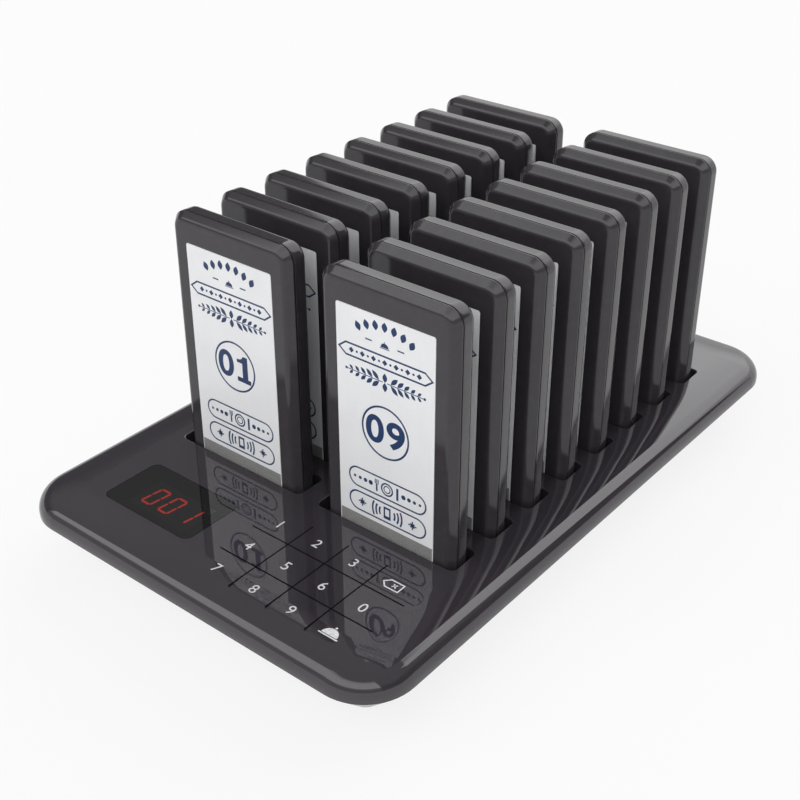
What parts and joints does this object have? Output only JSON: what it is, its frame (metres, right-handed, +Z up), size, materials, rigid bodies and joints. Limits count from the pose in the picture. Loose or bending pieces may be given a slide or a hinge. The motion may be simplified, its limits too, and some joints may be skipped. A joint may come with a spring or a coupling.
{
  "type": "guest pager system",
  "caption": "Keypad charging base with a small display and two columns of upright slots, holding numbered coaster pagers that lift out.",
  "frame": {"origin": "on the counter, under the middle of the base", "axes": "+X the right side as the operator sees it, -Y the front with the keypad, +Z up, the way the pagers lift out"},
  "size_m": [0.1674, 0.2642, 0.121],
  "materials": {
    "case_top": "glossy dark grey",
    "case_bottom": "satin dark grey",
    "window": "dark tinted, polished",
    "display": "black housing",
    "circuit": "green solder mask",
    "contact": "gold plated spring leaf",
    "jack": "black moulded",
    "foot": "matte black",
    "screw": "zinc plated",
    "pager_front": "satin dark grey",
    "label": "printed white film",
    "pager_rear": "satin dark grey"
  },
  "bodies": {
    "base": {"top_case": "case_top", "bottom_case": "case_bottom", "display_window": "window", "display_module": "display", "touch_board": "circuit", "control_board": "circuit", "charge_board": "circuit", "charge_contacts": "contact", "power_jack": "jack", "rubber_feet": "foot", "case_screws": "screw", "board_screws": "screw"},
    "pager_01": {"pager_01_front_cover": "pager_front", "pager_01_label": "label", "pager_01_rear_assembly": "pager_rear"},
    "pager_02": {"pager_02_front_cover": "pager_front", "pager_02_label": "label", "pager_02_rear_assembly": "pager_rear"},
    "pager_03": {"pager_03_front_cover": "pager_front", "pager_03_label": "label", "pager_03_rear_assembly": "pager_rear"},
    "pager_04": {"pager_04_front_cover": "pager_front", "pager_04_label": "label", "pager_04_rear_assembly": "pager_rear"},
    "pager_05": {"pager_05_front_cover": "pager_front", "pager_05_label": "label", "pager_05_rear_assembly": "pager_rear"},
    "pager_06": {"pager_06_front_cover": "pager_front", "pager_06_label": "label", "pager_06_rear_assembly": "pager_rear"},
    "pager_07": {"pager_07_front_cover": "pager_front", "pager_07_label": "label", "pager_07_rear_assembly": "pager_rear"},
    "pager_08": {"pager_08_front_cover": "pager_front", "pager_08_label": "label", "pager_08_rear_assembly": "pager_rear"},
    "pager_09": {"pager_09_front_cover": "pager_front", "pager_09_label": "label", "pager_09_rear_assembly": "pager_rear"},
    "pager_10": {"pager_10_front_cover": "pager_front", "pager_10_label": "label", "pager_10_rear_assembly": "pager_rear"},
    "pager_11": {"pager_11_front_cover": "pager_front", "pager_11_label": "label", "pager_11_rear_assembly": "pager_rear"},
    "pager_12": {"pager_12_front_cover": "pager_front", "pager_12_label": "label", "pager_12_rear_assembly": "pager_rear"},
    "pager_13": {"pager_13_front_cover": "pager_front", "pager_13_label": "label", "pager_13_rear_assembly": "pager_rear"},
    "pager_14": {"pager_14_front_cover": "pager_front", "pager_14_label": "label", "pager_14_rear_assembly": "pager_rear"},
    "pager_15": {"pager_15_front_cover": "pager_front", "pager_15_label": "label", "pager_15_rear_assembly": "pager_rear"},
    "pager_16": {"pager_16_front_cover": "pager_front", "pager_16_label": "label", "pager_16_rear_assembly": "pager_rear"}
  },
  "joints": [
    {"name": "pager_01_lift", "type": "slide", "parent": "base", "child": "pager_01", "axis": [0, 0, 1], "range_m": [0, 0.12]},
    {"name": "pager_02_lift", "type": "slide", "parent": "base", "child": "pager_02", "axis": [0, 0, 1], "range_m": [0, 0.12]},
    {"name": "pager_03_lift", "type": "slide", "parent": "base", "child": "pager_03", "axis": [0, 0, 1], "range_m": [0, 0.12]},
    {"name": "pager_04_lift", "type": "slide", "parent": "base", "child": "pager_04", "axis": [0, 0, 1], "range_m": [0, 0.12]},
    {"name": "pager_05_lift", "type": "slide", "parent": "base", "child": "pager_05", "axis": [0, 0, 1], "range_m": [0, 0.12]},
    {"name": "pager_06_lift", "type": "slide", "parent": "base", "child": "pager_06", "axis": [0, 0, 1], "range_m": [0, 0.12]},
    {"name": "pager_07_lift", "type": "slide", "parent": "base", "child": "pager_07", "axis": [0, 0, 1], "range_m": [0, 0.12]},
    {"name": "pager_08_lift", "type": "slide", "parent": "base", "child": "pager_08", "axis": [0, 0, 1], "range_m": [0, 0.12]},
    {"name": "pager_09_lift", "type": "slide", "parent": "base", "child": "pager_09", "axis": [0, 0, 1], "range_m": [0, 0.12]},
    {"name": "pager_10_lift", "type": "slide", "parent": "base", "child": "pager_10", "axis": [0, 0, 1], "range_m": [0, 0.12]},
    {"name": "pager_11_lift", "type": "slide", "parent": "base", "child": "pager_11", "axis": [0, 0, 1], "range_m": [0, 0.12]},
    {"name": "pager_12_lift", "type": "slide", "parent": "base", "child": "pager_12", "axis": [0, 0, 1], "range_m": [0, 0.12]},
    {"name": "pager_13_lift", "type": "slide", "parent": "base", "child": "pager_13", "axis": [0, 0, 1], "range_m": [0, 0.12]},
    {"name": "pager_14_lift", "type": "slide", "parent": "base", "child": "pager_14", "axis": [0, 0, 1], "range_m": [0, 0.12]},
    {"name": "pager_15_lift", "type": "slide", "parent": "base", "child": "pager_15", "axis": [0, 0, 1], "range_m": [0, 0.12]},
    {"name": "pager_16_lift", "type": "slide", "parent": "base", "child": "pager_16", "axis": [0, 0, 1], "range_m": [0, 0.12]}
  ]
}
